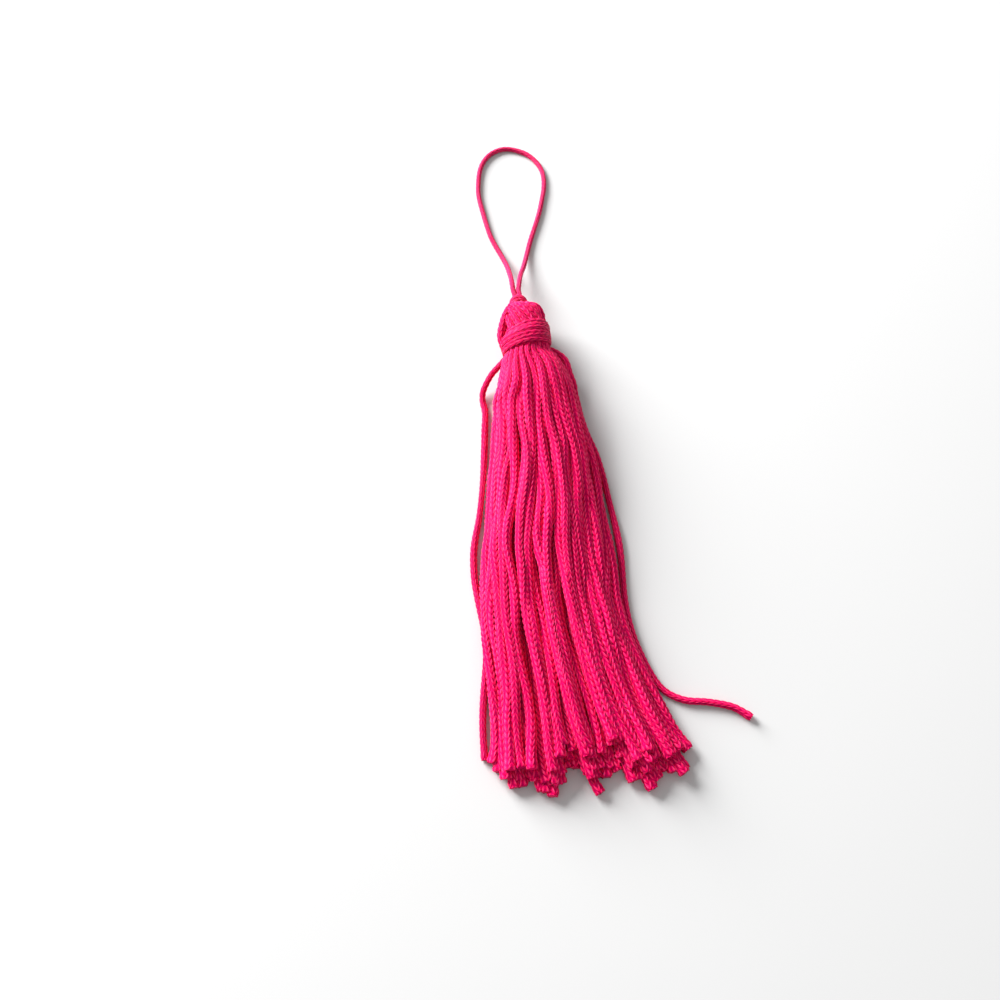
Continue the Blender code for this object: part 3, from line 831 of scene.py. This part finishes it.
# %% Wind the binding
BINDING_TURNS = 6.0
BINDING_START = -0.65
BINDING_PITCH = 0.79
BINDING = table('turn radius bulge droop', [
    (0.0, 3.45, 0.20, 0.80),
    (1.0, 3.75, 0.50, 0.80),
    (2.2, 4.02, 0.50, 0.60),
    (6.0, 4.08, 0.00, 0.00),
])
WOUND_RADIUS = 0.58
WOUND_STITCH = 1.25
BINDING_BACK = 170          # degrees from the top, where the winding starts and ends
POINTS_A_TURN = 40
TUCK, TUCK_DEPTH = 0.25, 0.6    # an end goes under its neighbours, over so many turns


def binding_route():
    """A slanted helix round the neck whose ends are tucked in."""
    turns = np.linspace(0, BINDING_TURNS, int(BINDING_TURNS * POINTS_A_TURN))
    angle = 2 * math.pi * turns + math.radians(BINDING_BACK)
    uneven = 0.09 * np.sin(1.37 * angle + 0.8) + 0.05 * np.sin(2.9 * angle)
    edge = np.minimum(turns, BINDING_TURNS - turns)
    radius, bulge, droop = (np.interp(turns, BINDING['turn'], BINDING[name])
                            for name in ('radius', 'bulge', 'droop'))
    left = np.clip(-np.sin(angle), 0, 1)
    radius = radius + bulge * left - TUCK_DEPTH * np.clip(1 - edge / TUCK, 0, 1)
    radius += 0.06 * np.sin(0.83 * angle)
    sideways = NECK_MIDDLE + SQUASH * radius * np.sin(angle)
    up = np.maximum(AXIS_HEIGHT + radius * np.cos(angle), WOUND_RADIUS)
    along = BINDING_START - BINDING_PITCH * turns - droop * left + uneven
    return {'points': slanted(sideways, along, up), 'girth': MM * WOUND_RADIUS,
            'twist': 0.7 * turns, 'tint': 0.45}


binding = knit('neck_binding_turns', [binding_route()], binding_silk, MM * WOUND_STITCH)

# %% Wind the loop's wrap
WRAP_RINGS = table('sideways along up width height lean radius', [
    (-1.07, 4.65, 4.35, 1.18, 0.95, 0.85, 0.54),
    (-1.07, 4.20, 4.35, 0.98, 0.85, 0.80, 0.50),
])
WRAP_ANGLES, WRAP_POINTS = (-175, 185), 30


def wrap_route(sideways, along, up, width, height, lean, radius):
    """One leaning turn round the loop's legs, its ends overlapping underneath."""
    angle = np.radians(np.linspace(*WRAP_ANGLES, WRAP_POINTS))
    points = np.column_stack([sideways + width * np.sin(angle),
                              along + lean * np.cos(angle) + HEAD_FOOT,
                              up + height * np.cos(angle)])
    return {'points': MM * points, 'girth': MM * radius, 'twist': look.uniform(0, 6), 'tint': 0.7}


wrap = knit('loop_wrap_turns', [wrap_route(*row) for row in zip(*WRAP_RINGS.values())],
            loop_silk, MM * LOOP_STITCH, relief=0.28)

# %% [markdown]
# ## The core, dark with painted shade
#
# Between the head's cords one looks into the folded hank. A plain skin a little below them, from the
# crown to the skirt's roots, closes that view, and its dark colour is painted shade. A lathe would do
# for an upright dome, but this one leans, so rings are joined by faces instead.

# %% Loft the core
CORE_SIDES = 32
CORE_INSET = 0.25
CORE_END = (-6.0, 3.1, 0.40)


def core_mesh():
    """A closed skin from the crown to the end of the binding, with no ridge, so its silk paints the
    groove's shade all over.
    """
    rows = list(zip(DOME['along'], DOME['radius'] - CORE_INSET, DOME['sideways'])) + [CORE_END]
    points, faces = [], []
    for along, radius, sideways in rows:
        angle = np.linspace(0, 2 * math.pi, CORE_SIDES, endpoint=False)
        ring = slanted(sideways + SQUASH * radius * np.sin(angle), np.full(CORE_SIDES, along),
                       AXIS_HEIGHT + radius * np.cos(angle))
        points += ring.tolist()
    for row in range(len(rows) - 1):
        for i in range(CORE_SIDES):
            a, b = row * CORE_SIDES + i, row * CORE_SIDES + (i + 1) % CORE_SIDES
            faces.append((a, b, b + CORE_SIDES, a + CORE_SIDES))
    faces.append(range(CORE_SIDES - 1, -1, -1))
    faces.append(range(len(points) - CORE_SIDES, len(points)))
    mesh = bpy.data.meshes.new('folded_core')
    mesh.from_pydata(points, [], faces)
    # Painted shade: the binding silk, read with no ridge, gives the core its groove's dark colour.
    mesh.materials.append(binding_silk)
    mesh.shade_smooth()
    return mesh


core = bpy.data.objects.new('folded_core', core_mesh())
bpy.context.scene.collection.objects.link(core)
print('core', len(core.data.polygons), 'faces')

# %% [markdown]
# ## Every piece rides and replaces
#
# A tassel has no joints, so all of it rides on the one body. The cords stand for the soft solids,
# which are hidden here and keep their work in the simulation.

# %% Ride and replace
for piece in [*skirt_pieces, head, core]:
    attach(piece, 'root')
    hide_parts('tassel_strands')
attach(binding, 'root')
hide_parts('neck_binding')
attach(wrap, 'root')
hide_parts('loop_wrap')

# %% [markdown]
# ## Table and light
#
# The photograph is a product shot on white: one broad, soft light from the upper left, and so much
# white around that the shadows stay open. A large area light gives the direction and the world's
# even white fills the rest.

# %% Light the table
TABLE_SIZE = 3.0
PAPER_GREY = 0.52
KEY_PLACE = (-0.57, 0.50, 0.34)
KEY_SIZE = 0.50
KEY_POWER = 28.0
WORLD_STRENGTH = 0.58

table_mesh = bpy.data.meshes.new('table')
half = TABLE_SIZE / 2
table_mesh.from_pydata([(-half, -half, 0), (half, -half, 0), (half, half, 0), (-half, half, 0)], [],
                       [(0, 1, 2, 3)])
table_top = bpy.data.objects.new('table', table_mesh)
bpy.context.scene.collection.objects.link(table_top)
paper = bpy.data.materials.new('white_paper')
paper.use_nodes = True
paper_shader = paper.node_tree.nodes['Principled BSDF']
paper_shader.inputs['Base Color'].default_value = (PAPER_GREY, PAPER_GREY, PAPER_GREY, 1.0)
paper_shader.inputs['Roughness'].default_value = 0.9
table_mesh.materials.append(paper)

key_light = bpy.data.lights.new('key_light', 'AREA')
key_light.energy = KEY_POWER
key_light.size = KEY_SIZE
key = bpy.data.objects.new('key_light', key_light)
key.location = KEY_PLACE
bpy.context.scene.collection.objects.link(key)
aim = key.constraints.new('TRACK_TO')
aim.target = table_top
aim.track_axis = 'TRACK_NEGATIVE_Z'
aim.up_axis = 'UP_Y'

world = bpy.data.worlds.new('white_room')
world.use_nodes = True
room = world.node_tree.nodes['Background']
room.inputs['Color'].default_value = (1.0, 1.0, 1.0, 1.0)
room.inputs['Strength'].default_value = WORLD_STRENGTH
bpy.context.scene.world = world
print('key light', KEY_POWER, 'W, world', WORLD_STRENGTH)
